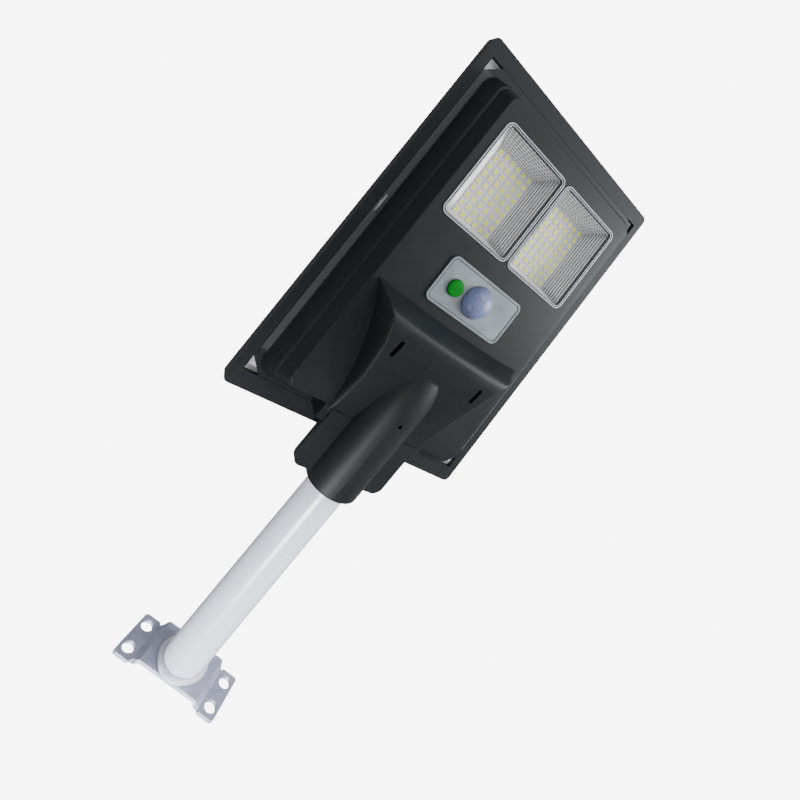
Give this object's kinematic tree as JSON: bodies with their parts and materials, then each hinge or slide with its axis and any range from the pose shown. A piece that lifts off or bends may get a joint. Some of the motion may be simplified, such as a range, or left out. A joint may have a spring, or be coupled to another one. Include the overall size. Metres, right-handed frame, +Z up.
{
  "type": "solar street lamp",
  "caption": "Solar street lamp: a flat lamp head with a solar panel on top, LED windows, motion sensor and push button below, swivelling on a steel tube with a wall plate.",
  "frame": {"origin": "centre of the tube axis in the plane of the wall, which is the back of the foot plate", "axes": "+Z up; -Y along the tube, from the wall to the lamp head; +X across; the lamp shines towards -Z at rest"},
  "size_m": [0.234, 0.5582, 0.0918],
  "materials": {
    "black_plastic": "fine grained black ABS",
    "grey_plate": "satin light grey, sensor and button plate",
    "painted_steel": "smooth light grey powder coat",
    "plated_steel": "zinc plated pressed steel",
    "screw_steel": "zinc plated",
    "back_plate": "mill finish sheet",
    "reflector": "metallised plastic",
    "clear_lens": "clear moulded plastic",
    "white_board": "white",
    "dome": "milky translucent moulding",
    "green_button": "green",
    "panel_glass": "tempered glass over dark blue solar cells",
    "rubber": "black silicone",
    "circuit_green": "green solder mask",
    "cell_wrap": "blue shrink sleeve",
    "red_wire": "red insulation",
    "black_wire": "black insulation"
  },
  "bodies": {
    "root_arm": {"foot_plate": "plated_steel", "weld_bead": "plated_steel", "arm_tube": "painted_steel"},
    "head": {"top_frame": "black_plastic", "lower_shell": "black_plastic", "battery_cradle": "black_plastic", "solar_backsheet": "white_board", "led_board_left": "white_board", "led_board_right": "white_board", "solar_glass": "panel_glass", "shell_seal": "rubber", "panel_junction": "rubber", "push_switch": "rubber", "lens_left": "clear_lens", "lens_right": "clear_lens", "reflector_left": "reflector", "reflector_right": "reflector", "led_back_plate": "back_plate", "sensor_plate": "grey_plate", "sensor_dome": "dome", "sensor_can": "screw_steel", "control_board": "circuit_green", "panel_lead_red": "red_wire", "battery_lead_red": "red_wire", "led_lead_left": "red_wire", "led_lead_right": "red_wire", "panel_lead_black": "black_wire", "battery_lead_black": "black_wire", "shell_screw_1": "screw_steel", "shell_screw_2": "screw_steel", "shell_screw_3": "screw_steel", "shell_screw_4": "screw_steel", "shell_screw_5": "screw_steel", "shell_screw_6": "screw_steel", "shell_screw_7": "screw_steel", "shell_screw_8": "screw_steel", "clamp_screw_1": "screw_steel", "back_plate_screw_1": "screw_steel", "board_screw_1": "screw_steel", "battery_cell_1": "cell_wrap", "clamp_screw_2": "screw_steel", "back_plate_screw_2": "screw_steel", "board_screw_2": "screw_steel", "battery_cell_2": "cell_wrap", "clamp_screw_3": "screw_steel", "back_plate_screw_3": "screw_steel", "board_screw_3": "screw_steel", "battery_cell_3": "cell_wrap", "clamp_screw_4": "screw_steel", "back_plate_screw_4": "screw_steel", "board_screw_4": "screw_steel", "battery_cell_4": "cell_wrap"},
    "button": {"power_button": "green_button"}
  },
  "joints": [
    {"name": "head_swivel", "type": "hinge", "parent": "root_arm", "child": "head", "pos_m": [0, -0.23, 0], "axis": [0, 1, 0], "range_deg": [-90, 90]},
    {"name": "button_press", "type": "slide", "parent": "head", "child": "button", "axis": [0, 0.0593, 0.9982], "range_m": [0, 0.001], "stiffness_N_per_m": 400}
  ]
}
